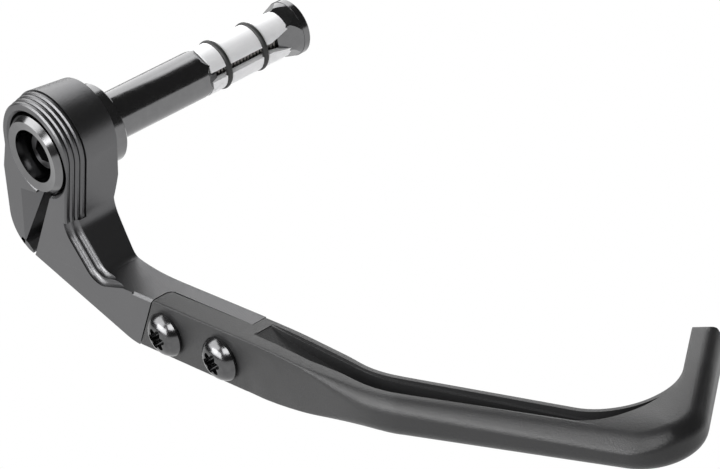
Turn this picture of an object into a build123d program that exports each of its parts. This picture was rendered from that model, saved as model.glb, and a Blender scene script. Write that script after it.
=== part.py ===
from build123d import *
import math
import os

# Lever guard for one end of a motorbike handlebar, in millimetres.
# The origin is on the axis of the bar insert, where the end of the bar sits. +Y runs into the
# bar, +X runs forward along the blade and +Z is up.

# Bar insert
spindle_diameter = 11.6
spindle_length = 27.1
stub_diameter = 19.2
stub_back_length = 4.3
nose_stand_out = 1.2
bolt_well_diameter = 13.0
bolt_well_depth = 9.2
insert_edge_chamfer = 0.35

# Clamping bolt through the insert
bolt_diameter = 6.0
bolt_clearance = 0.3
bolt_head_diameter = 10.0
bolt_head_height = 6.0
bolt_socket_width = 5.0
bolt_socket_depth = 3.0
bolt_end_recess = 0.5

# Expander: three jaws on six-sided tapers, held by two rubber rings
taper_slope = 0.5
taper_clearance = 0.08
taper_end_wall = 0.6
jaw_start = 1.4
jaw_length = 24.0
jaw_gap = 2.4
jaw_inner_clearance = 0.6
jaw_corner_width = 1.3
jaw_corner_length = 5.6
ring_cord = 1.5
ring_groove_depth = 1.2
ring_clearance = 0.05
first_ring_inset = 5.1
ring_spacing = 11.1
nut_rim_diameter = 13.8
nut_rim_width = 1.9
nut_rim_chamfer = 0.3
nut_rim_relief = 0.1
nut_corner_draft = 1.0
nut_stand_off = 3.2

# Bracket, seen along the bar
head_width = 14.6
head_radius = 13.8
head_back_radius = 12.75
bore_clearance = 0.8
bore_chamfer = 0.5
inner_wall_distance = 12.0
inner_wall_draft = 1.0
inner_wall_blend = 10.0
neck_x = 6.2
neck_drop = 17.4
neck_radius = 5.0
scoop_angle = 57.0
scoop_foot_radius = 3.5
heel_x = -19.3
heel_drop = 26.0
heel_radius = 8.5
lower_edge_angle = 20.5
lower_blend = 16.0
arm_top_drop = 27.8
arm_height = 14.0

# Bracket, seen from above
arm_thickness = 9.35
arm_back_arc = 92.0
arm_back_end = 33.0
boss_flare = 2.6

# Rounded ribs round the front of the head
rib_count = 4
rib_pitch = 1.25
rib_step = 0.3
rib_crown = 0.45
rib_groove_depth = 0.4
rib_end_drop = 16.3
rib_fade_angle = 150.0
rib_fade_drop = 6.0

# Double cove along the scoop
cove_depth = 3.0
cove_width = 2.3
cove_run_out_angle = 13.0
cove_run_out_length = 14.0

# Split and pinch screw
slot_x = -1.3
slot_drop = 10.55
slot_angle = 34.3
slot_top_width = 4.6
slot_foot_width = 3.6
jaw_facet_x = -10.3
jaw_facet_drop = 11.1
jaw_facet_lean = 15.7
jaw_facet_angle = 25.0
pinch_x = -4.6
pinch_drop = 15.6
pinch_angle = 33.4
pinch_diameter = 4.0
pinch_clearance = 0.25
pinch_head_diameter = 7.0
pinch_head_height = 4.0
pinch_seat_depth = 2.2
pinch_thread_depth = 9.0
pinch_socket_width = 3.0
pinch_socket_depth = 2.0

# Joint between bracket and blade
tab_thickness = 5.5
joint_gap = 0.12
joint_corner_radius = 1.6
seam_top = 34.0
seam_foot = 24.9
tail_end = 63.0
arm_edge_bevel = 0.6

# Blade screws
screw_x = 37.4
screw_spacing = 19.7
screw_inset = 7.3
screw_diameter = 6.0
screw_clearance = 0.3
screw_head_diameter = 10.5
screw_head_height = 3.3
screw_recess_diameter = 5.4
screw_recess_depth = 1.8
screw_rim_draft = 0.2

# Blade, seen from above
outer_bend_x = 106.8
inner_bend_x = 100.8
outer_angle = 18.7
inner_angle = 15.4
bend_radius = 40.0
outer_corner_x = 176.6
outer_corner_radius = 12.0
inner_corner_x = 166.2
inner_corner_radius = 14.6
tip_angle = 126.9
inner_tip_length = 38.6
tip_rounding = 2.2

# Blade, seen from the side
blade_top_step = 1.7
blade_height = 8.8
slim_start = 68.0
slim_end = 107.0
root_sections = 5
root_margin = 4.4
soften_start = 82.0
tab_edge = 0.5
outer_top_rounding = 3.6
outer_foot_rounding = 3.0
inner_top_rounding = 0.6
inner_foot_rounding = 1.5

# Channel in the top of the blade
channel_start = 66.6
channel_ramp = 4.6
channel_depth = 1.6
channel_middle_depth = 2.1
channel_end_depth = 3.2
channel_far_rim = 1.35
channel_start_wall = 2.9
channel_near_wall = 3.8
channel_widening_start = 85.0
channel_widening_end = 94.0
channel_turn_x = 148.0
channel_end_angle = -8.0
rim_step_width = 0.5
rim_step_depth = 0.4

# Reach of a cut past the faces it cuts, and the smallest step that tells two places apart
spare = 1.0
tiny = 0.01

# Places worked out from the sizes
seat_back = -stub_back_length
face = seat_back - head_width
ridge = face + rib_count * rib_pitch
arm_back = face + arm_thickness
tab_back = face + tab_thickness
arm_foot_drop = arm_top_drop + arm_height
screw_drop = arm_top_drop + screw_inset
blade_top_drop = arm_top_drop + blade_top_step
blade_foot_drop = blade_top_drop + blade_height
sheet_size = 3 * (tail_end + arm_foot_drop)
stub_radius = stub_diameter / 2
bore_radius = stub_radius + bore_clearance
spindle_radius = spindle_diameter / 2


def polar(radius, angle):
    """Point at a radius and an angle in degrees."""
    return radius * math.cos(math.radians(angle)), radius * math.sin(math.radians(angle))


def along(point, angle, distance):
    """Point reached from another by going a distance at an angle."""
    step = polar(distance, angle)
    return point[0] + step[0], point[1] + step[1]


def at(depth):
    """Upright plane across the bar axis: its own x is X and its own y is Z."""
    return Plane.XZ.offset(-depth)


def slab(sketch, start, end):
    """Solid of an upright sketch between two depths along the bar axis."""
    return extrude(at(end) * sketch, amount=end - start, dir=(0, -1, 0))


def turned(points):
    """Solid turned about the bar axis from (radius, Y) points."""
    return revolve(make_face(Polyline(*points, close=True)), Axis.Y)


def nearest(shapes, point):
    """The vertex that lies nearest to a point of its sketch."""
    return shapes.sort_by_distance((point[0], point[1], 0))[0]


def rounded(sketch, corners):
    """Sketch with the corners near the given points rounded."""
    for point, radius in corners:
        sketch = fillet(nearest(sketch.vertices(), point), radius)
    return sketch


def normal_angle(point, distance, side):
    """Direction square to a line through a point that passes the axis at a distance."""
    reach = math.hypot(*point)
    return math.degrees(math.atan2(point[1], point[0])) + side * math.degrees(math.acos(distance / reach))


def six_sided_taper(width, start, length, outward):
    """Six-sided taper with flats facing +X, widest at its start depth."""
    small = width - 2 * taper_slope * length
    rotation = Rot(0, 0, 30)
    big_end = at(start) * (rotation * RegularPolygon(width / 2, 6, major_radius=False))
    small_end = at(start + outward * length) * (rotation * RegularPolygon(small / 2, 6, major_radius=False))
    return loft([big_end, small_end], ruled=True)


# Bar insert: nose, clamped stub, seat for the bar, spindle and its taper
hole_radius = bolt_diameter / 2 + bolt_clearance
well_floor = face - nose_stand_out + bolt_well_depth
jaw_front = spindle_length + jaw_start
jaw_back = jaw_front + jaw_length
ring_places = (jaw_front + first_ring_inset, jaw_front + first_ring_inset + ring_spacing)
nut_rim_front = jaw_back + nut_stand_off
nut_back = nut_rim_front + nut_rim_width
nut_taper_width = nut_rim_diameter - 2 * nut_rim_relief


def taper_length(width):
    """Length in which a six-sided taper slims down to a thin wall round the bolt."""
    return (width / 2 - hole_radius - taper_end_wall) / taper_slope


def bar_insert():
    front = face - nose_stand_out
    cut = insert_edge_chamfer
    spindle_end = spindle_length + taper_length(spindle_diameter)
    body = turned([
        (0, front), (stub_radius - cut, front), (stub_radius, front + cut),
        (stub_radius, -cut), (stub_radius - cut, 0),
        (spindle_radius, 0), (spindle_radius, spindle_length), (0, spindle_length),
    ])
    taper = six_sided_taper(spindle_diameter, spindle_length, taper_length(spindle_diameter), 1)
    body += taper & slab(Circle(spindle_radius), 0, spindle_end + spare)
    well_radius = bolt_well_diameter / 2
    body -= turned([
        (0, front - spare), (well_radius + cut + spare, front - spare), (well_radius + cut, front),
        (well_radius, front + cut), (well_radius, well_floor), (0, well_floor),
    ])
    return body - slab(Circle(hole_radius), front, spindle_end + spare)


# Tapered nut that the bolt pulls in
def cone_nut():
    rim_radius = nut_rim_diameter / 2
    rim = turned([
        (0, nut_rim_front), (rim_radius, nut_rim_front), (rim_radius, nut_back - nut_rim_chamfer),
        (rim_radius - nut_rim_chamfer, nut_back), (0, nut_back),
    ])
    length = taper_length(nut_taper_width)
    taper = six_sided_taper(nut_taper_width, nut_rim_front, length, -1)
    corner_radius = nut_taper_width / 2
    turned_corners = turned([
        (0, nut_rim_front), (corner_radius, nut_rim_front),
        (corner_radius - nut_corner_draft, nut_rim_front - length), (0, nut_rim_front - length),
    ])
    bore = slab(Circle(bolt_diameter / 2 + ring_clearance), 0, nut_back + spare)
    return rim + (taper & turned_corners) - bore


# Expander jaws
def jaw_blank():
    inner = bolt_diameter / 2 + jaw_inner_clearance
    blank = slab(Circle(spindle_radius) - Circle(inner), jaw_front, jaw_back)
    wider = 2 * taper_clearance
    blank -= six_sided_taper(spindle_diameter + wider, spindle_length, taper_length(spindle_diameter), 1)
    blank -= six_sided_taper(nut_taper_width + wider, nut_rim_front, taper_length(nut_taper_width), -1)
    groove_radius = spindle_radius - ring_groove_depth
    for place in ring_places:
        half = ring_cord / 2 + ring_clearance
        blank -= slab(Circle(spindle_radius + spare) - Circle(groove_radius), place - half, place + half)
    return blank


def jaw_space():
    """Space between two jaws, facing +X, with the corners cut back at the nut."""
    gap = Pos(spindle_radius, 0) * Rectangle(2 * spindle_radius, jaw_gap)
    space = slab(gap, jaw_front - spare, jaw_back + spare)
    wide = Pos(spindle_radius, 0) * Rectangle(2 * spindle_radius, jaw_gap + 2 * jaw_corner_width)
    return space + loft([at(jaw_back - jaw_corner_length) * gap, at(jaw_back + tiny) * wide], ruled=True)


def expander_jaws():
    blank = jaw_blank()
    for turn in (0, 120, 240):
        blank -= Rot(0, turn, 0) * jaw_space()
    return blank.solids().sort_by(Axis.Z)


def rubber_ring(place):
    centre_radius = spindle_radius - ring_groove_depth + ring_clearance + ring_cord / 2
    section = Pos(centre_radius, place) * Circle(ring_cord / 2)
    return revolve(section, Axis.Y)


# Cap screws with a hexagon socket
def cap_screw(diameter, length, head_diameter, head_height, socket_width, socket_depth):
    """Cap screw along +Y, with the underside of its head at the origin."""
    cut = 0.08 * head_diameter
    screw = turned([
        (0, -head_height), (head_diameter / 2 - cut, -head_height), (head_diameter / 2, cut - head_height),
        (head_diameter / 2, 0), (diameter / 2, 0), (diameter / 2, length - cut),
        (diameter / 2 - cut, length), (0, length),
    ])
    socket = RegularPolygon(socket_width / 2, 6, major_radius=False)
    return screw - slab(socket, -head_height - spare, socket_depth - head_height)


def centre_bolt():
    bolt = cap_screw(bolt_diameter, nut_back - well_floor - bolt_end_recess, bolt_head_diameter,
                     bolt_head_height, bolt_socket_width, bolt_socket_depth)
    return Pos(0, well_floor, 0) * bolt


# Outline of the bracket, seen along the bar
heel = (heel_x, -heel_drop)
neck = (neck_x, -neck_drop)
scoop_foot = along(neck, -scoop_angle, (arm_top_drop - neck_drop) / math.sin(math.radians(scoop_angle)))
lower_run = (arm_foot_drop - heel_drop) / math.tan(math.radians(lower_edge_angle))
lower_corner = (heel_x + lower_run, -arm_foot_drop)


def head_outline(radius, wall_distance):
    rear = polar(radius, normal_angle(heel, radius, -1))
    wall_normal = normal_angle(neck, wall_distance, 1)
    wall_top = polar(radius, wall_normal + math.degrees(math.acos(wall_distance / radius)))
    half = Rectangle(sheet_size, sheet_size, align=(Align.MIN, Align.CENTER))
    beyond_wall = Rot(0, 0, wall_normal) * (Pos(wall_distance, 0) * half)
    arm = Polygon(
        rear, heel, lower_corner, (tail_end, -arm_foot_drop), (tail_end, -arm_top_drop),
        scoop_foot, neck, wall_top, align=None,
    )
    outline = (Circle(radius) - beyond_wall) + arm
    return rounded(outline, [
        (heel, heel_radius), (lower_corner, lower_blend), (neck, neck_radius),
        (scoop_foot, scoop_foot_radius), (wall_top, inner_wall_blend),
    ])


# Ribs: each one stands out further than the one before, with a groove on both its sides
def rib_core(inset):
    outline = offset(head_outline(head_radius, inner_wall_distance), -inset)
    rear = polar(head_radius - rib_count * rib_step - rib_groove_depth - spare, rib_fade_angle)
    side = along(heel, normal_angle(heel, head_radius, -1) - 90, heel_drop - rib_fade_drop)
    fade = Polygon(
        (0, 0), rear, side, along(side, 180, head_radius), (-sheet_size / 2, -sheet_size / 2),
        (0, -sheet_size / 2), align=None,
    )
    below = Pos(0, -rib_end_drop) * Rectangle(sheet_size, sheet_size, align=(Align.CENTER, Align.MAX))
    return outline + fade + below


def rib_cutters():
    cutters = []
    sheet = slab(Rectangle(4 * sheet_size, 4 * sheet_size), face, face + rib_pitch)
    crown = rib_crown * rib_pitch
    slope = (rib_pitch - crown) / 2
    for number in range(rib_count):
        inset = (rib_count - number) * rib_step
        start = face + number * rib_pitch
        deep = rib_core(inset + rib_groove_depth)
        high = rib_core(inset)
        places = (start, start + slope, start + slope + crown, start + rib_pitch)
        rib = loft([at(places[0]) * deep, at(places[1]) * high], ruled=True)
        rib += slab(high, places[1], places[2])
        rib += loft([at(places[2]) * high, at(places[3]) * deep], ruled=True)
        cutters.append(Pos(0, number * rib_pitch, 0) * sheet - rib)
    return cutters


# Double cove that follows the scoop and runs out along the arm
def cove_cutter():
    wall_angle = normal_angle(neck, inner_wall_distance, 1) + 90
    start = along(neck, wall_angle, neck_radius)
    end = along(scoop_foot, cove_run_out_angle, cove_run_out_length)
    path = at(face) * FilletPolyline(start, neck, scoop_foot, end, radius=[neck_radius, scoop_foot_radius])
    half_depth = cove_depth / 2
    half_width = cove_width / 2
    lean = math.sqrt(0.5)
    outline = [
        ThreePointArc((0, -cove_width), (lean * half_depth, -half_width - lean * half_width), (half_depth, -half_width)),
        ThreePointArc((half_depth, -half_width), (half_depth + lean * half_depth, -lean * half_width), (cove_depth, 0)),
        Polyline((cove_depth, 0), (cove_depth, half_width), (-spare, half_width), (-spare, -cove_width), (0, -cove_width)),
    ]
    tangent = path % 0
    frame = Plane(origin=path @ 0, x_dir=(0, 1, 0), z_dir=tangent)
    cove = sweep(frame * make_face(outline), path=path)
    below = Pos(0, 0, -rib_end_drop) * Box(
        sheet_size, sheet_size, sheet_size, align=(Align.CENTER, Align.CENTER, Align.MAX))
    return cove & below


# Split below the bore
slot_heading = -90 - slot_angle
slot_top = (slot_x, -slot_drop)
slot_length = (arm_foot_drop - slot_drop) / math.cos(math.radians(slot_angle))
slot_foot = along(slot_top, slot_heading, slot_length)


def slot_cutter():
    """Split that narrows towards its foot."""
    top = along(slot_top, slot_heading, -slot_top_width)
    half_top = slot_top_width / 2
    half_foot = slot_foot_width / 2
    slot = Polygon(
        along(top, slot_heading + 90, half_top), along(top, slot_heading - 90, half_top),
        along(slot_foot, slot_heading - 90, half_foot), along(slot_foot, slot_heading + 90, half_foot), align=None,
    )
    return slab(slot, face - spare, seat_back + spare)


def jaw_facet():
    """Slanting cut beside the split, on the front of the rear jaw."""
    heading = -90 - jaw_facet_lean
    start = (jaw_facet_x, -jaw_facet_drop)
    end = along(start, heading, slot_length)
    beside = Polygon(start, end, slot_foot, slot_top, align=None)
    down = polar(1, heading)
    across = polar(math.cos(math.radians(jaw_facet_angle)), heading + 90)
    down_line = Vector(down[0], 0, down[1])
    slant = Vector(across[0], math.sin(math.radians(jaw_facet_angle)), across[1])
    plane = Plane(origin=(start[0], face, start[1]), x_dir=down_line, z_dir=down_line.cross(slant))
    in_front = Box(2 * slot_length, slot_length, slot_length, align=(Align.CENTER, Align.MIN, Align.MIN))
    return slab(beside, face - spare, ridge) & (plane * in_front)


# Pinch screw across the split, with its head on the rear jaw
def pinch_place():
    middle = (pinch_x, -pinch_drop)
    heading = -pinch_angle
    rear_normal = normal_angle(heel, head_radius, -1)
    out = polar(1, rear_normal)
    into = polar(1, heading)
    gap = head_radius - (middle[0] * out[0] + middle[1] * out[1])
    reach = gap / -(into[0] * out[0] + into[1] * out[1])
    seat = along(middle, heading, pinch_seat_depth - reach)
    depth = face + head_width / 2
    return Plane(origin=(seat[0], depth, seat[1]), x_dir=(0, 0, 1), z_dir=(into[0], 0, into[1])), reach


def pinch_holes():
    plane, reach = pinch_place()
    head_hole = Circle(pinch_head_diameter / 2 + pinch_clearance)
    shank_hole = Circle(pinch_diameter / 2 + pinch_clearance)
    thread_hole = Circle(pinch_diameter / 2 + ring_clearance)
    to_slot = reach - pinch_seat_depth
    holes = extrude(plane * head_hole, amount=-2 * pinch_head_diameter)
    holes += extrude(plane * shank_hole, amount=to_slot)
    return holes + extrude(plane * thread_hole, amount=to_slot + slot_top_width / 2 + pinch_thread_depth)


def pinch_screw():
    plane, reach = pinch_place()
    length = reach - pinch_seat_depth + slot_top_width / 2 + pinch_thread_depth - bolt_end_recess
    screw = cap_screw(pinch_diameter, length, pinch_head_diameter, pinch_head_height,
                      pinch_socket_width, pinch_socket_depth)
    return plane * (Rot(90, 0, 0) * screw)


# Bracket
def seam_polygon(gap):
    """Area of the joint, seen along the bar, with its slanting end moved back by a gap."""
    lean = spare * (seam_top - seam_foot) / arm_height
    return Polygon(
        (seam_top + gap + lean, spare - arm_top_drop), (tail_end + spare, spare - arm_top_drop),
        (tail_end + spare, -spare - arm_foot_drop), (seam_foot + gap - lean, -spare - arm_foot_drop), align=None,
    )


def joint_pocket():
    pocket = slab(seam_polygon(-joint_gap), face - spare, tab_back)
    return fillet(seam_edge(pocket), joint_corner_radius)


def behind_arm():
    """Space behind the arm, which thins along an arc from the flared boss of the head to the blade."""
    rise = seat_back + spare - arm_back
    reach = math.sqrt(arm_back_arc ** 2 - (arm_back_arc - rise) ** 2)
    start = (arm_back_end - reach, seat_back + spare)
    end = (arm_back_end, arm_back)
    beyond = tail_end + spare
    outline = [
        TangentArc(end, start, tangent=(-1, 0)),
        Polyline(end, (beyond, arm_back), (beyond, seat_back + spare), start),
    ]
    space = extrude(make_face(outline), amount=sheet_size, both=True)
    flared_radius = head_back_radius + boss_flare * (seat_back - arm_back)
    boss = turned([
        (0, arm_back), (flared_radius, arm_back), (head_back_radius, seat_back),
        (head_back_radius, seat_back + 2 * spare), (0, seat_back + 2 * spare),
    ])
    return space - boss


def bracket():
    front = head_outline(head_radius, inner_wall_distance)
    back = head_outline(head_back_radius, inner_wall_distance - inner_wall_draft)
    ribbed = slab(front, face, ridge)
    for cutter in rib_cutters():
        ribbed -= cutter
    body = ribbed + loft([at(ridge) * front, at(seat_back) * back], ruled=True)
    body -= behind_arm()
    body -= slab(Circle(bore_radius), face - spare, seat_back + spare)
    chamfer_radius = bore_radius + bore_chamfer
    body -= turned([
        (0, face - spare), (chamfer_radius + spare, face - spare), (bore_radius, face + bore_chamfer),
        (0, face + bore_chamfer),
    ])
    body -= cove_cutter()
    body -= slot_cutter()
    body -= jaw_facet()
    body -= joint_pocket()
    body -= pinch_holes()
    for place in screw_places():
        thread = Pos(place, -screw_drop) * Circle(screw_diameter / 2 + ring_clearance)
        body -= slab(thread, tab_back - spare, arm_back + spare)
    return body - arm_bevel()


def arm_bevel():
    """Bevel on the upper front edge of the arm, from the cove to the seam."""
    side = math.sqrt(2) * arm_edge_bevel
    start = scoop_foot[0] + cove_run_out_length * math.cos(math.radians(cove_run_out_angle))
    bar = Box(seam_top - start, side, side, align=(Align.MIN, Align.CENTER, Align.CENTER))
    return Pos(start, face, -arm_top_drop) * (Rot(45, 0, 0) * bar)


def screw_places():
    return screw_x, screw_x + screw_spacing


# Blade screws: domed heads with a six-lobed recess
def blade_screw(place):
    head_radius_here = screw_head_diameter / 2
    flat = 0.45 * head_radius_here
    rim = 0.25 * screw_head_height
    screw_end = arm_thickness - bolt_end_recess
    dome = [
        Line((0, -screw_head_height), (flat, -screw_head_height)),
        ThreePointArc((flat, -screw_head_height), (0.82 * head_radius_here, -0.68 * screw_head_height),
                      (head_radius_here, -rim)),
        Polyline((head_radius_here, -rim), (head_radius_here - screw_rim_draft, 0), (screw_diameter / 2, 0),
                 (screw_diameter / 2, screw_end), (0, screw_end), (0, -screw_head_height)),
    ]
    screw = revolve(make_face(dome), Axis.Y)
    lobe_radius = screw_recess_diameter / 7
    lobe_place = screw_recess_diameter / 2 - lobe_radius
    recess = Circle(lobe_place) + PolarLocations(lobe_place, 6) * Circle(lobe_radius)
    screw -= slab(recess, -screw_head_height - spare, screw_recess_depth - screw_head_height)
    return Pos(place, face, -screw_drop) * screw


# Blade, seen from above: the side away from the grip and the side towards it
def reach(start, angle, x):
    """Point where a line from another point reaches a place along X."""
    return along(start, angle, (x - start[0]) / math.cos(math.radians(angle)))


blade_start = tail_end + joint_gap
root_end = inner_bend_x - bend_radius * math.tan(math.radians(inner_angle / 2)) - root_margin
outer_bend = (outer_bend_x, face)
inner_bend = (inner_bend_x, arm_back)
outer_corner = reach(outer_bend, outer_angle, outer_corner_x)
inner_corner = reach(inner_bend, inner_angle, inner_corner_x)
inner_tip = along(inner_corner, tip_angle, inner_tip_length)
across_tip = polar(1, tip_angle - 90)
tip_thickness = sum((a - b) * c for a, b, c in zip(outer_corner, inner_corner, across_tip))
outer_tip = along(inner_tip, tip_angle - 90, tip_thickness)


def outer_line():
    return FilletPolyline((blade_start, face), outer_bend, outer_corner, outer_tip,
                          radius=[bend_radius, outer_corner_radius])


def inner_line():
    return FilletPolyline((blade_start, arm_back), inner_bend, inner_corner, inner_tip,
                          radius=[bend_radius, inner_corner_radius])


def grip_side(line, *ends):
    """Area between one face of the blade and the grip, seen from above."""
    closing = Polyline(line @ 1, *ends, (blade_start, inner_tip[1]), line @ 0)
    return make_face([line, closing])


def outer_area():
    return grip_side(outer_line(), inner_tip)


def inner_area():
    return grip_side(inner_line())


def bend_point(bend, angle, share):
    """Point on the rounded bend of one face, at a share of its turn."""
    tangent = bend_radius * math.tan(math.radians(angle / 2))
    centre = (bend[0] - tangent, bend[1] + bend_radius)
    return along(centre, share * angle - 90, bend_radius)


def ease(x, start, end):
    """Share of a smooth change between two places along the blade."""
    share = min(1, max(0, (x - start) / (end - start)))
    return share * share * (3 - 2 * share)


def blend(first, last, share):
    return first + share * (last - first)


def blade_section(outer, inner):
    """Upright section of the blade from its outer to its inner face."""
    width = math.dist(outer, inner)
    across = ((inner[0] - outer[0]) / width, (inner[1] - outer[1]) / width, 0)
    ahead = (across[1], -across[0], 0)
    slimmed = ease(outer[0], slim_start, slim_end)
    softened = ease(outer[0], soften_start, slim_end)
    top = -blend(arm_top_drop, blade_top_drop, slimmed)
    foot = -blend(arm_foot_drop, blade_foot_drop, slimmed)
    outline = Polygon((0, foot), (width, foot), (width, top), (0, top), align=None)
    outline = rounded(outline, [
        ((0, foot), blend(tab_edge, outer_foot_rounding, softened)),
        ((width, foot), blend(tab_edge, inner_foot_rounding, softened)),
        ((width, top), blend(tab_edge, inner_top_rounding, softened)),
        ((0, top), blend(tab_edge, outer_top_rounding, softened)),
    ])
    return Plane(origin=(outer[0], outer[1], 0), x_dir=across, z_dir=ahead) * outline


def blade_root(arm):
    """Part next to the joint, which slims down and softens through the bend up to the arm's end."""
    step = (root_end - slim_start) / (root_sections - 1)
    places = [blade_start] + [slim_start + number * step for number in range(root_sections)]
    pairs = [((x, face), (x, arm_back)) for x in places]
    for share in (0.25, 0.5, 0.75):
        pairs.append((bend_point(outer_bend, outer_angle, share), bend_point(inner_bend, inner_angle, share)))
    return loft([blade_section(*pair) for pair in pairs] + [end_face(arm)])


def end_face(arm):
    """Face of the arm in the seam with the root."""
    outer = bend_point(outer_bend, outer_angle, 1)
    inner = bend_point(inner_bend, inner_angle, 1)
    middle = ((outer[0] + inner[0]) / 2, (outer[1] + inner[1]) / 2, blade_height / 2 - blade_foot_drop)
    return arm.faces().sort_by_distance(middle)[0]


def blade_arm():
    """Part from the bend round the corner to the tip, of one height."""
    plan = outer_area() - inner_area()
    outer_seam = bend_point(outer_bend, outer_angle, 1)
    inner_seam = bend_point(inner_bend, inner_angle, 1)
    lean = math.degrees(math.atan2(outer_seam[1] - inner_seam[1], outer_seam[0] - inner_seam[0]))
    plan -= Polygon(
        along(outer_seam, lean, arm_thickness), along(inner_seam, lean, -arm_thickness),
        (blade_start - spare, arm_back + arm_thickness), (blade_start - spare, face - arm_thickness), align=None,
    )
    arm = extrude(Pos(0, 0, -blade_foot_drop) * plan, amount=blade_height)
    for drop, outer_rounding, inner_rounding in (
        (blade_top_drop, outer_top_rounding, inner_top_rounding),
        (blade_foot_drop, outer_foot_rounding, inner_foot_rounding),
    ):
        arm = fillet(edges_along(arm, outer_line(), drop), outer_rounding)
        arm = fillet(edges_along(arm, inner_line(), drop), inner_rounding)
    return arm - tip_bits()


def edges_along(arm, line, drop):
    """Edges at one height of the blade that lie above or below a line of the plan."""
    found = []
    for edge in arm.edges().filter_by_position(Axis.Z, -drop - tiny, tiny - drop):
        middle = edge @ 0.5
        if line.distance_to(Vector(middle.X, middle.Y, 0)) < tiny:
            found.append(edge)
    return found


def tip_bits():
    """What rounding the blade's end takes away, in plan and in side view."""
    corner = Rectangle(2 * tip_rounding, 2 * tip_rounding) - Circle(tip_rounding)
    quarter = corner & Rectangle(tip_rounding, tip_rounding, align=Align.MIN)
    quarter = Pos(-tip_rounding, -tip_rounding) * quarter
    middle = ((outer_tip[0] + inner_tip[0]) / 2, (outer_tip[1] + inner_tip[1]) / 2)
    end = Plane(origin=(middle[0], middle[1], -blade_foot_drop), x_dir=(*polar(1, tip_angle), 0), z_dir=(0, 0, 1))
    side = Pos(0, tip_thickness / 2) * quarter
    bits = extrude(side, amount=blade_height) + extrude(mirror(side, Plane.XZ), amount=blade_height)
    upright = Plane.XZ.offset(-tip_thickness)
    top = extrude(upright * (Pos(0, blade_height) * quarter), amount=2 * tip_thickness)
    foot = extrude(upright * mirror(quarter, Plane.XZ), amount=2 * tip_thickness)
    return end * (bits + top + foot)


# Channel in the top of the blade
def channel_area():
    """Area of the channel, seen from above, with its pointed end in the corner."""
    near = offset(outer_area(), -channel_near_wall)
    lead_in = Polygon(
        (channel_start, face + channel_start_wall), (channel_widening_start, face + channel_start_wall),
        (channel_widening_end, face + channel_near_wall), (channel_start, face + channel_near_wall), align=None,
    )
    turn = along(reach(outer_bend, outer_angle, channel_turn_x), outer_angle + 90, channel_near_wall)
    centre = corner_centre()
    end = along(centre, channel_end_angle, inner_corner_radius + channel_far_rim)
    curve = TangentArc(turn, end, tangent=polar(1, outer_angle))
    behind = Polyline(
        end, centre, (channel_start, centre[1]), (channel_start, face), (turn[0], face), turn)
    return (near + lead_in) & make_face([curve, behind])


def corner_centre():
    """Centre of the rounding of the blade's inner corner."""
    turn = tip_angle - inner_angle
    tangent = inner_corner_radius * math.tan(math.radians(turn / 2))
    return along(along(inner_corner, inner_angle + 180, tangent), inner_angle + 90, inner_corner_radius)


def channel_cutter():
    area = channel_area()
    far_side = offset(inner_area(), channel_far_rim)
    step_side = offset(inner_area(), channel_far_rim + rim_step_width)
    base = -blade_foot_drop
    height = blade_foot_drop - arm_top_drop + spare
    cut = extrude(Pos(0, 0, base) * (area - step_side), amount=height)
    step = extrude(Pos(0, 0, base) * ((area & step_side) - far_side), amount=height)
    return (cut & above_floor(0)) + (step & above_floor(channel_depth - rim_step_depth))


def above_floor(rise):
    """Space above the channel's floor, seen from the side: a ramp, then a floor that follows the top."""
    start_floor = -arm_top_drop - channel_depth + rise
    middle_floor = -blade_top_drop - channel_middle_depth + rise
    end_floor = -blade_top_drop - channel_end_depth + rise
    profile = Polygon(
        (channel_start, -arm_top_drop), (channel_start + channel_ramp, start_floor), (slim_end, middle_floor),
        (inner_corner_x, end_floor), (inner_corner_x, 0), (channel_start, 0), align=None,
    )
    return slab(profile, face - spare, inner_tip[1])


def guard_blade():
    arm = blade_arm()
    blade = blade_root(arm) + arm - channel_cutter() + joint_tab()
    for place in screw_places():
        hole = Circle(screw_diameter / 2 + screw_clearance)
        blade -= slab(Pos(place, -screw_drop) * hole, face - spare, tab_back + spare)
    return blade


def joint_tab():
    """Half-thickness tab that lies in the pocket of the bracket."""
    area = Pos(0, -arm_top_drop) * Rectangle(blade_start, arm_height, align=(Align.MIN, Align.MAX))
    tab = slab(seam_polygon(0) & area, face, tab_back)
    long_edges = tab.edges().filter_by(Axis.X).filter_by_position(Axis.Y, face - tiny, face + tiny)
    tab = fillet(long_edges, tab_edge)
    return fillet(seam_edge(tab), joint_corner_radius + joint_gap)


def seam_edge(solid):
    """Edge where the slanting seam meets the bottom of the joint."""
    middle = ((seam_top + seam_foot) / 2, tab_back, -arm_top_drop - arm_height / 2)
    return solid.edges().sort_by_distance(middle)[0]


os.makedirs("parts", exist_ok=True)
parts = {
    "bracket": bracket(), "guard_blade": guard_blade(), "bar_insert": bar_insert(),
    "centre_bolt": centre_bolt(), "cone_nut": cone_nut(), "pinch_screw": pinch_screw(),
}
for number, jaw in enumerate(expander_jaws(), 1):
    parts[f"expander_jaw_{number}"] = jaw
for number, place in enumerate(ring_places, 1):
    parts[f"rubber_ring_{number}"] = rubber_ring(place)
for number, place in enumerate(screw_places(), 1):
    parts[f"blade_screw_{number}"] = blade_screw(place)
for name, shape in parts.items():
    export_step(shape, f"parts/{name}.step")
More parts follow.
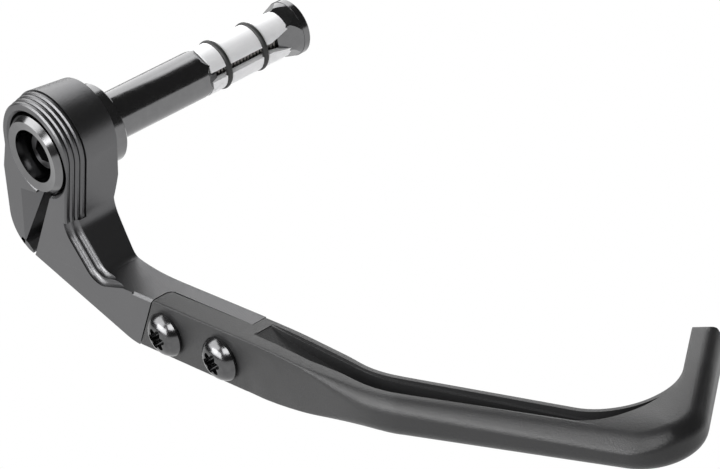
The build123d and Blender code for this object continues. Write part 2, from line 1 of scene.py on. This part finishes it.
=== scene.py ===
import bmesh
import bpy
import math
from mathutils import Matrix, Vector


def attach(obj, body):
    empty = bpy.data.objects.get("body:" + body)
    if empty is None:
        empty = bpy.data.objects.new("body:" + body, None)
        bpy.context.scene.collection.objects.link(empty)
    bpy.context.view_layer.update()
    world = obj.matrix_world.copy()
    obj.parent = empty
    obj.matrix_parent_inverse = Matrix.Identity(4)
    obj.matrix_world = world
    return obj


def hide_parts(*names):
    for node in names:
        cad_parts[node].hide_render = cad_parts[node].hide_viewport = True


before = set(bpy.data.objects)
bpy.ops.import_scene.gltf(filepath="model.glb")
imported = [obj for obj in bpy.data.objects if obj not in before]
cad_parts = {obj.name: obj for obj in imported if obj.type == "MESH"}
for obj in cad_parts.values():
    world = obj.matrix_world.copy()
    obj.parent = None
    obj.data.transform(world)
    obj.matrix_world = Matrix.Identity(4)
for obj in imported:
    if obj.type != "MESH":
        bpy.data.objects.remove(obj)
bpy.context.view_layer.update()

# Bracket: the clamp head and its arm are one piece of black anodised aluminium, milled from plate.
# The broad faces are bead blasted to an even satin, and the top of the arm keeps the fine lines that
# the cutter left.


class Value:
    """A socket of a node, with arithmetic written as in a formula."""

    def __init__(self, nodes, socket):
        self.nodes = nodes
        self.socket = socket

    def join(self, operation, *terms):
        return self.nodes.node("ShaderNodeMath", {"operation": operation}, terms)

    def __add__(self, other):
        return self.join("ADD", self, other)

    def __radd__(self, other):
        return self.join("ADD", other, self)

    def __mul__(self, other):
        return self.join("MULTIPLY", self, other)

    def __rmul__(self, other):
        return self.join("MULTIPLY", other, self)

    def near(self, target, reach):
        """1 where the value is within reach of the target, and 0 elsewhere."""
        return self.join("COMPARE", self, target, reach)

    def sine(self):
        return self.join("SINE", self)


class Nodes:
    """The nodes of a material or of the world."""

    def __init__(self, owner):
        owner.use_nodes = True
        self.tree = owner.node_tree

    def feed(self, value, socket):
        if isinstance(value, Value):
            self.tree.links.new(value.socket, socket)
        else:
            socket.default_value = value

    def node(self, kind, settings=None, sockets=(), output=0):
        """One node: its settings come first, then the values or links of its sockets."""
        made = self.tree.nodes.new(kind)
        for key, value in (settings or {}).items():
            setattr(made, key, value)
        for key, value in sockets.items() if isinstance(sockets, dict) else enumerate(sockets):
            self.feed(value, made.inputs[key])
        return Value(self, made.outputs[output])


class Finish(Nodes):
    """A material with one surface shader. Its first colour and roughness are plain ones."""

    def __init__(self, name, colour, roughness, metallic=0.0, specular=0.5):
        self.material = bpy.data.materials.new(name)
        super().__init__(self.material)
        self.surface = self.tree.nodes["Principled BSDF"]
        self.set("Base Color", (*colour, 1.0))
        self.set("Roughness", roughness)
        self.set("Metallic", metallic)
        self.set("Specular IOR Level", specular)

    def set(self, socket, value):
        self.feed(value, self.surface.inputs[socket])

    def place(self):
        """Object coordinates, in metres."""
        return self.node("ShaderNodeTexCoord", output="Object")

    def along(self, axis):
        """One of the object coordinates: X along the blade, Y along the bar, Z upwards."""
        return self.node("ShaderNodeSeparateXYZ", None, [self.place()], output=axis)

    def noise(self, scale, detail=2.0, roughness=0.5, stretch=(1.0, 1.0, 1.0)):
        place = self.node("ShaderNodeMapping", None, {"Vector": self.place(), "Scale": stretch})
        sockets = {"Vector": place, "Scale": scale, "Detail": detail, "Roughness": roughness}
        return self.node("ShaderNodeTexNoise", None, sockets)

    def mix(self, share, first, second):
        """A colour between two. Socket 0 is the share, 6 and 7 are the colours, and output 2 is new."""
        sockets = {0: share, 6: (*first, 1.0), 7: (*second, 1.0)}
        return self.node("ShaderNodeMix", {"data_type": "RGBA"}, sockets, output=2)

    def relief(self, height, strength, distance):
        """Small relief on the surface, from a height of about 0 to 1."""
        sockets = {"Strength": strength, "Distance": distance, "Height": height}
        self.set("Normal", self.node("ShaderNodeBump", None, sockets))

    def cover(self, node):
        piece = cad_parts[node]
        piece.data.materials.clear()
        piece.data.materials.append(self.material)


arm_top_level = -0.0278
level_reach = 0.00005
cutter_pitch = 0.00055
bracket_finish = Finish("black_anodised_satin", (0.12, 0.12, 0.122), 0.36, metallic=1.0)
blast = bracket_finish.noise(3000.0, detail=3.0)
cloud = bracket_finish.noise(60.0)
bracket_tone = bracket_finish.mix(cloud, (0.115, 0.115, 0.118), (0.135, 0.135, 0.138))
bracket_finish.set("Base Color", bracket_tone)
bracket_finish.set("Roughness", 0.32 + 0.1 * blast)
on_arm_top = bracket_finish.along("Z").near(arm_top_level, level_reach)
cutter_lines = (bracket_finish.along("X") * (2.0 * math.pi / cutter_pitch)).sine()
bracket_finish.relief(blast + cutter_lines * on_arm_top, strength=0.25, distance=0.00012)
bracket_finish.cover("bracket")


# Foot of the clamp's rear jaw: a small lip of the same plate that nearly closes the split where it
# comes out below. It is milled with the split, by a thinner cutter, and rises a little to its back.
def piece_of(shape, name, material):
    """New piece from a bmesh, which is freed."""
    mesh = bpy.data.meshes.new(name)
    shape.to_mesh(mesh)
    shape.free()
    mesh.materials.append(material)
    piece = bpy.data.objects.new(name, mesh)
    bpy.context.collection.objects.link(piece)
    return piece


millimetre = 0.001
head_front = -0.0189
head_back = -0.0052
lip_edge = [
    (-15.3, -25.2), (-13.3, -26.3), (-11.85, -27.75), (-12.05, -28.6),
    (-12.5, -28.52), (-13.8, -27.9), (-15.0, -27.0), (-16.0, -25.9)]
lip_run = (0.0004, head_back - head_front, 0.0009)
lip = bmesh.new()
rim = [lip.verts.new((millimetre * x, head_front, millimetre * z)) for x, z in lip_edge]
front_face = lip.faces.new(rim)
drawn = bmesh.ops.extrude_face_region(lip, geom=[front_face])
back_verts = [item for item in drawn["geom"] if isinstance(item, bmesh.types.BMVert)]
bmesh.ops.translate(lip, verts=back_verts, vec=lip_run)
bmesh.ops.recalc_face_normals(lip, faces=lip.faces)
jaw_lip = piece_of(lip, "jaw_lip", bracket_finish.material)
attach(jaw_lip, "root")

# Blade: moulded in black glass-filled nylon, with a fine spark-eroded grain all over. It is open
# along its top and bends inwards in front of the lever's tip. Two screws hold its tab on the bracket.
blade_finish = Finish("black_nylon", (0.03, 0.03, 0.031), 0.5, specular=0.4)
grain = blade_finish.noise(2600.0, detail=4.0, roughness=0.65)
shade = blade_finish.noise(45.0)
blade_tone = blade_finish.mix(shade, (0.013, 0.013, 0.0135), (0.018, 0.018, 0.0185))
blade_finish.set("Base Color", blade_tone)
blade_finish.set("Roughness", 0.3 + 0.14 * grain)
blade_finish.relief(grain, strength=0.45, distance=0.00016)


def joined_copy(node):
    """Mesh of a node with its triangles joined, to be worked on."""
    same_place = 0.000001
    shape = bmesh.new()
    shape.from_mesh(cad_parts[node].data)
    bmesh.ops.remove_doubles(shape, verts=shape.verts, dist=same_place)
    return shape


def put_for(shape, name, node, finish):
    """New piece that stands for a node, with its edges sharp from a certain angle on."""
    sharp_from = math.radians(28.0)
    for face in shape.faces:
        face.smooth = True
    shape.normal_update()
    for edge in shape.edges:
        edge.smooth = edge.calc_face_angle(math.pi) < sharp_from
    piece = piece_of(shape, name, finish.material)
    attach(piece, "root")
    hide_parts(node)


def share_between(value, start, end):
    """How far a value has come from start to end, from 0 to 1."""
    return min(1.0, max(0.0, (value - start) / (end - start)))


def eased(share):
    return share * share * (3.0 - 2.0 * share)


# The channel of the blade is deep. From the ramp at its start on, its floor is sunk to that depth:
# the faces that look up and lie below the blade's top by more than the channel's least depth there.
tab_top = -0.0278
slim_top = -0.0295
slim_from = 0.068
slim_to = 0.107
corner_place = 0.166
least_depth = 0.001
depth_at_bend = 0.0015
depth_at_corner = 0.0026
lowest_floor = -0.0345
faces_up = 0.8
floor_sink = 0.003
sink_from = 0.070
sink_to = 0.082
blade_shape = joined_copy("guard_blade")
channel_floor = set()
for face in blade_shape.faces:
    centre = face.calc_center_median()
    slimmed = share_between(centre.x, slim_from, slim_to)
    past_bend = max(0.0, (centre.x - slim_to) / (corner_place - slim_to))
    top = tab_top + (slim_top - tab_top) * eased(slimmed)
    depth = least_depth + (depth_at_bend - least_depth) * slimmed
    depth += (depth_at_corner - depth_at_bend) * past_bend
    in_channel = centre.x > slim_from and lowest_floor < centre.z < top - depth
    if in_channel and face.normal.z > faces_up:
        channel_floor.update(face.verts)

# The seams against the bracket are opened a little: the slanting one at the start of the tab, the
# one along the top of the tab's back, and the one where the bracket's tail ends.
seam_start = 0.034
seam_lean = 0.65
seam_reach = 0.0009
seam_gap = 0.0003
tab_back = -0.0134
tail_end = 0.06312
touch = 0.0001
for vert in blade_shape.verts:
    seam = seam_start + seam_lean * (vert.co.z - tab_top)
    if abs(vert.co.x - seam) < seam_reach:
        vert.co.x += seam_gap
    before_tail_end = vert.co.x < tail_end - touch
    if before_tail_end and vert.co.y > tab_back - touch and vert.co.z > tab_top - touch:
        vert.co.y -= seam_gap
    if abs(vert.co.x - tail_end) < touch and vert.co.y > tab_back + touch:
        vert.co.x += 0.5 * seam_gap
for vert in channel_floor:
    vert.co.z -= floor_sink * share_between(vert.co.x, sink_from, sink_to)

# Round the corner, the top of the blade falls off towards its outer side in one soft crown, which
# fades out along the tip. Long edges there are divided first.
crown_from = 0.130
crown_to = 0.160
crown_foot = -0.0350
crown_rise = 0.0045
crown_width = 0.0105
crown_drop = 0.0026
bend_place = Vector((0.1068, -0.0189))
corner_spot = Vector((0.1766, 0.0047))
arm_turn = math.radians(18.7)
arm_inward = Vector((-math.sin(arm_turn), math.cos(arm_turn)))
tip_inward = Vector((-0.8, -0.6))
tip_direction = Vector((-0.6, 0.8))
tip_run = 0.034
tip_fade = 0.85
longest_edge = 0.0022
dividing_rounds = 4
for _ in range(dividing_rounds):
    long_edges = [
        edge for edge in blade_shape.edges
        if edge.calc_length() > longest_edge
        and min(end.co.x for end in edge.verts) > crown_from
        and min(end.co.z for end in edge.verts) > crown_foot]
    if long_edges:
        bmesh.ops.subdivide_edges(blade_shape, edges=long_edges, cuts=1)
        many_sided = [face for face in blade_shape.faces if len(face.verts) > 3]
        bmesh.ops.triangulate(blade_shape, faces=many_sided)
for vert in blade_shape.verts:
    if vert.co.x > crown_from and vert.co.z > crown_foot:
        spot = vert.co.xy
        past_corner = spot - corner_spot
        inside = min((spot - bend_place).dot(arm_inward), past_corner.dot(tip_inward))
        slope = 1.0 - share_between(inside, 0.0, crown_width)
        rise = share_between(vert.co.z - crown_foot, 0.0, crown_rise)
        kept = 1.0 - tip_fade * share_between(past_corner.dot(tip_direction), 0.0, tip_run)
        way = eased(share_between(vert.co.x, crown_from, crown_to))
        vert.co.z -= crown_drop * kept * way * slope * slope * rise
put_for(blade_shape, "deep_blade", "guard_blade", blade_finish)

# Bar insert: one turned piece with a glossy black finish, from the nose that shows in the bracket's
# bore to the spindle that goes into the handlebar. The turning lines show a little in the gloss.
insert_finish = Finish("gloss_black_anodised", (0.18, 0.18, 0.182), 0.14, metallic=1.0)
turning = insert_finish.noise(900.0, stretch=(0.05, 1.0, 0.05))
specks = insert_finish.noise(500.0)
insert_tone = insert_finish.mix(specks, (0.16, 0.16, 0.163), (0.2, 0.2, 0.203))
insert_finish.set("Base Color", insert_tone)
insert_finish.set("Roughness", 0.12 + 0.12 * specks)
insert_finish.relief(turning, strength=0.08, distance=0.00005)

# The nose of the insert has a wide turned cone round its flat front.
nose_front = -0.0201
nose_edge = 0.0088
nose_flat = 0.0086
front_reach = 0.00005
round_reach = 0.0008
cone_end = -0.0187
nose_shape = joined_copy("bar_insert")
for vert in nose_shape.verts:
    around = math.hypot(vert.co.x, vert.co.z)
    if around > nose_edge and vert.co.y < nose_front + front_reach:
        vert.co.x *= nose_flat / around
        vert.co.z *= nose_flat / around
    elif around > nose_edge and vert.co.y < nose_front + round_reach:
        vert.co.y = cone_end
put_for(nose_shape, "coned_insert", "bar_insert", insert_finish)

# Cone nut: a turned nut with a rim and a six-sided taper, finished like the insert. The centre bolt
# pulls it in, and the taper spreads the jaws in the bar.
insert_finish.cover("cone_nut")

# Centre bolt and pinch screw: cap screws of hardened steel with a black oxide finish, a little oily.
# One runs through the insert to the nut, and the other closes the bracket's clamp.
bolt_finish = Finish("black_oxide", (0.05, 0.05, 0.052), 0.3, metallic=1.0)
bolt_wear = bolt_finish.noise(260.0, detail=3.0)
bolt_tone = bolt_finish.mix(bolt_wear, (0.05, 0.05, 0.052), (0.1, 0.1, 0.102))
bolt_finish.set("Base Color", bolt_tone)
bolt_finish.set("Roughness", 0.24 + 0.16 * bolt_wear)
bolt_finish.cover("centre_bolt")
bolt_finish.cover("pinch_screw")

# Thread of the centre bolt, rolled all the way under the jaws, where it shows between them. Each
# turn is a low ridge with its root in the shank, and the crests are a little bright.
thread_pitch = 0.001
thread_crest = 0.0033
thread_root = 0.0029
thread_start = 0.0288
thread_turns = 23
steps_per_turn = 24
same_turn = 0.000002
thread_finish = Finish("rolled_thread", (0.3, 0.29, 0.28), 0.3, metallic=1.0)
oil = thread_finish.noise(500.0)
thread_finish.set("Base Color", thread_finish.mix(oil, (0.22, 0.21, 0.2), (0.4, 0.38, 0.36)))
thread = bmesh.new()
ridge = [(thread_root, 0.0), (thread_crest, 0.5), (thread_root, 1.0)]
corners = [
    thread.verts.new((radius, thread_start + share * thread_pitch, 0.0)) for radius, share in ridge]
flanks = [thread.edges.new(pair) for pair in zip(corners, corners[1:])]
bmesh.ops.spin(
    thread, geom=corners + flanks, cent=(0.0, 0.0, 0.0), axis=(0.0, 1.0, 0.0),
    dvec=(0.0, thread_pitch / steps_per_turn, 0.0), angle=2.0 * math.pi * thread_turns,
    steps=steps_per_turn * thread_turns, use_merge=False)
bmesh.ops.remove_doubles(thread, verts=thread.verts, dist=same_turn)
bmesh.ops.recalc_face_normals(thread, faces=thread.faces)
bolt_thread = piece_of(thread, "bolt_thread", thread_finish.material)
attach(bolt_thread, "root")

# Expander: three jaws of bright turned aluminium round the bolt. Fine rings from the turning tool
# run round them, and paler streaks lie across the rings.
jaw_finish = Finish("bright_turned_aluminium", (0.92, 0.92, 0.93), 0.5, metallic=0.2)
rings = jaw_finish.noise(1500.0, detail=3.0, roughness=0.6, stretch=(0.03, 1.0, 0.03))
streaks = jaw_finish.noise(700.0, detail=4.0, roughness=0.7, stretch=(1.0, 0.25, 1.0))
jaw_tone = jaw_finish.mix(streaks, (0.82, 0.82, 0.84), (1.0, 1.0, 1.0))
jaw_finish.set("Base Color", jaw_tone)
jaw_finish.set("Roughness", 0.42 + 0.16 * rings)
jaw_finish.relief(rings, strength=0.2, distance=0.00004)
for number in (1, 2, 3):
    jaw_finish.cover(f"expander_jaw_{number}")

# Rubber rings: two plain black rings of round section. They hold the jaws together, and lie in
# grooves that are turned in the jaws.
rubber_finish = Finish("black_rubber", (0.022, 0.022, 0.022), 0.55)
rubber_bloom = rubber_finish.noise(400.0, detail=3.0)
rubber_tone = rubber_finish.mix(rubber_bloom, (0.014, 0.014, 0.014), (0.024, 0.024, 0.024))
rubber_finish.set("Base Color", rubber_tone)
rubber_finish.set("Roughness", 0.45 + 0.2 * rubber_bloom)
for number in (1, 2):
    rubber_finish.cover(f"rubber_ring_{number}")

# Blade screws: two steel button heads with a six-lobed recess, cold formed and given a bright black
# finish. They go through the blade's tab into the arm of the bracket.
screw_finish = Finish("bright_black_zinc", (0.1, 0.1, 0.102), 0.16, metallic=1.0)
screw_marks = screw_finish.noise(700.0, detail=3.0)
screw_tone = screw_finish.mix(screw_marks, (0.08, 0.08, 0.082), (0.15, 0.15, 0.152))
screw_finish.set("Base Color", screw_tone)
screw_finish.set("Roughness", 0.14 + 0.12 * screw_marks)
for number in (1, 2):
    screw_finish.cover(f"blade_screw_{number}")

# Studio floor: a plain pale sheet below the guard, which is held in the air. The camera and glossy
# surfaces see it white. Other light falls on it as on paper, and it isn't sampled as a lamp.
floor_drop = 0.30
floor_half = 6.0
floor_material = bpy.data.materials.new("white_floor")
floor_nodes = Nodes(floor_material)
floor_material.cycles.emission_sampling = "NONE"
white = floor_nodes.node("ShaderNodeEmission", None, {"Strength": 1.0})
paper = floor_nodes.node("ShaderNodeBsdfDiffuse", None, {"Color": (0.75, 0.75, 0.75, 1.0)})
by_camera = floor_nodes.node("ShaderNodeLightPath", output="Is Camera Ray")
by_gloss = floor_nodes.node("ShaderNodeLightPath", output="Is Glossy Ray")
seen_white = floor_nodes.node("ShaderNodeMath", {"operation": "MAXIMUM"}, [by_camera, by_gloss])
floor_look = floor_nodes.node("ShaderNodeMixShader", None, [seen_white, paper, white])
floor_output = floor_nodes.tree.nodes["Material Output"].inputs["Surface"]
floor_nodes.feed(floor_look, floor_output)
floor_nodes.tree.nodes.remove(floor_nodes.tree.nodes["Principled BSDF"])
sheet = bmesh.new()
bmesh.ops.create_grid(sheet, x_segments=1, y_segments=1, size=floor_half)
bmesh.ops.translate(sheet, verts=sheet.verts, vec=(0.0, 0.0, -floor_drop))
floor = piece_of(sheet, "floor", floor_material)

# World: a pale backdrop to the camera, and a dim even room for the light on the guard.
world = bpy.data.worlds.new("studio")
bpy.context.scene.world = world
sky = Nodes(world)
sky.tree.nodes.remove(sky.tree.nodes["Background"])
room_sockets = {"Color": (1.0, 1.0, 1.0, 1.0), "Strength": 0.06}
room = sky.node("ShaderNodeBackground", None, room_sockets)
backdrop = sky.node("ShaderNodeBackground", None, {"Strength": 1.0})
to_camera = sky.node("ShaderNodeLightPath", output="Is Camera Ray")
sky_look = sky.node("ShaderNodeMixShader", None, [to_camera, room, backdrop])
sky.feed(sky_look, sky.tree.nodes["World Output"].inputs["Surface"])


# Lamps: four soft boxes. One stands high behind the guard and one high in front of it, both on its
# clamp's side. A low one is in front, and a small one stands above and behind the camera.
def soft_box(name, place, aim, width, height, power):
    lamp = bpy.data.lights.new(name, "AREA")
    lamp.shape = "RECTANGLE"
    lamp.size = width
    lamp.size_y = height
    lamp.energy = power
    holder = bpy.data.objects.new(name, lamp)
    holder.location = place
    holder.rotation_euler = (Vector(aim) - Vector(place)).to_track_quat("-Z", "Y").to_euler()
    bpy.context.collection.objects.link(holder)


guard_middle = (0.06, 0.0, -0.01)
soft_box("back_left", (-0.80, 0.64, 0.62), guard_middle, 1.3, 1.1, 11.0)
soft_box("front_left", (-0.45, -0.66, 0.66), guard_middle, 1.1, 0.8, 11.0)
soft_box("front", (-0.15, -1.05, 0.34), guard_middle, 1.0, 0.5, 12.0)
soft_box("over_camera", (0.62, -0.52, 0.70), guard_middle, 0.6, 0.5, 6.5)

# Camera: a long lens, a little above the guard and in front of its outer side. The lens and the
# sensor are in millimetres, and the turn is in degrees.
lens = 150.0
sensor_width = 36.0
camera_place = (0.53868, -0.32814, 0.27456)
camera_turn = (62.891, 9.9855, 48.779)
camera_data = bpy.data.cameras.new("camera")
camera_data.sensor_width = sensor_width
camera_data.lens = lens
camera = bpy.data.objects.new("camera", camera_data)
camera.location = camera_place
camera.rotation_euler = [math.radians(angle) for angle in camera_turn]
bpy.context.collection.objects.link(camera)
bpy.context.scene.camera = camera
bpy.context.scene.view_settings.view_transform = "Standard"
